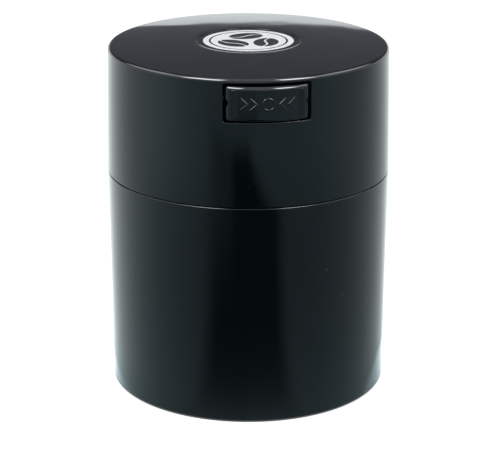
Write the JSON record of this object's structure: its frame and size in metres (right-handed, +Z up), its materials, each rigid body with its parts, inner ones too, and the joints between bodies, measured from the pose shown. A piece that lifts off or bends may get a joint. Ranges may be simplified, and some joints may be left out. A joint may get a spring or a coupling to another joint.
{
  "type": "coffee canister with valve",
  "caption": "Round black canister with a deep lift-off lid; a sprung button in the lid's front lifts an air valve through slanted slots.",
  "frame": {"origin": "centre of the canister's foot, on the surface it stands on", "axes": "+Z up along the canister's axis; the button faces -Y; +X is to the right of someone who faces the button"},
  "size_m": [0.1432, 0.1448, 0.1776],
  "materials": {
    "canister_plastic": "satin gloss moulded black plastic",
    "lid_plastic": "satin gloss moulded black plastic",
    "button_plastic": "satin gloss moulded black plastic",
    "label_film": "printed film, black with white print",
    "inner_plastic": "moulded black plastic, fine texture",
    "seal_rubber": "soft grey rubber",
    "spring_steel": "drawn steel wire",
    "pin_steel": "ground steel"
  },
  "bodies": {
    "canister": {"canister_body": "canister_plastic"},
    "seal": {"plug_seal": "seal_rubber"},
    "lid": {"lid_shell": "lid_plastic", "label_disc": "label_film", "inner_lid": "inner_plastic", "guide_bridge": "inner_plastic", "bridge_screws": "pin_steel", "button_spring_left": "spring_steel", "button_spring_right": "spring_steel", "valve_spring": "spring_steel"},
    "button": {"press_button": "button_plastic"},
    "valve": {"valve_rod": "inner_plastic", "lift_pin": "pin_steel", "valve_seal": "seal_rubber"}
  },
  "joints": [
    {"name": "lid_lift", "type": "slide", "parent": "canister", "child": "seal", "axis": [0, 0, 1], "range_m": [0, 0.06]},
    {"name": "lid_turn", "type": "hinge", "parent": "seal", "child": "lid", "pos_m": [0, 0, 0.15], "axis": [0, 0, 1], "continuous": true},
    {"name": "button_press", "type": "slide", "parent": "lid", "child": "button", "axis": [0, 1, 0], "range_m": [0, 0.0035], "stiffness_N_per_m": 1500, "springref_m": -0.002, "deforming": ["button_spring_left", "button_spring_right"]},
    {"name": "valve_lift", "type": "slide", "parent": "lid", "child": "valve", "axis": [0, 0, 1], "range_m": [0, 0.0025], "stiffness_N_per_m": 300, "springref_m": -0.001, "deforming": ["valve_spring"]}
  ],
  "couplings": [
    {"joint": "valve_lift", "follows": "button_press", "ratio": 0.71428}
  ]
}
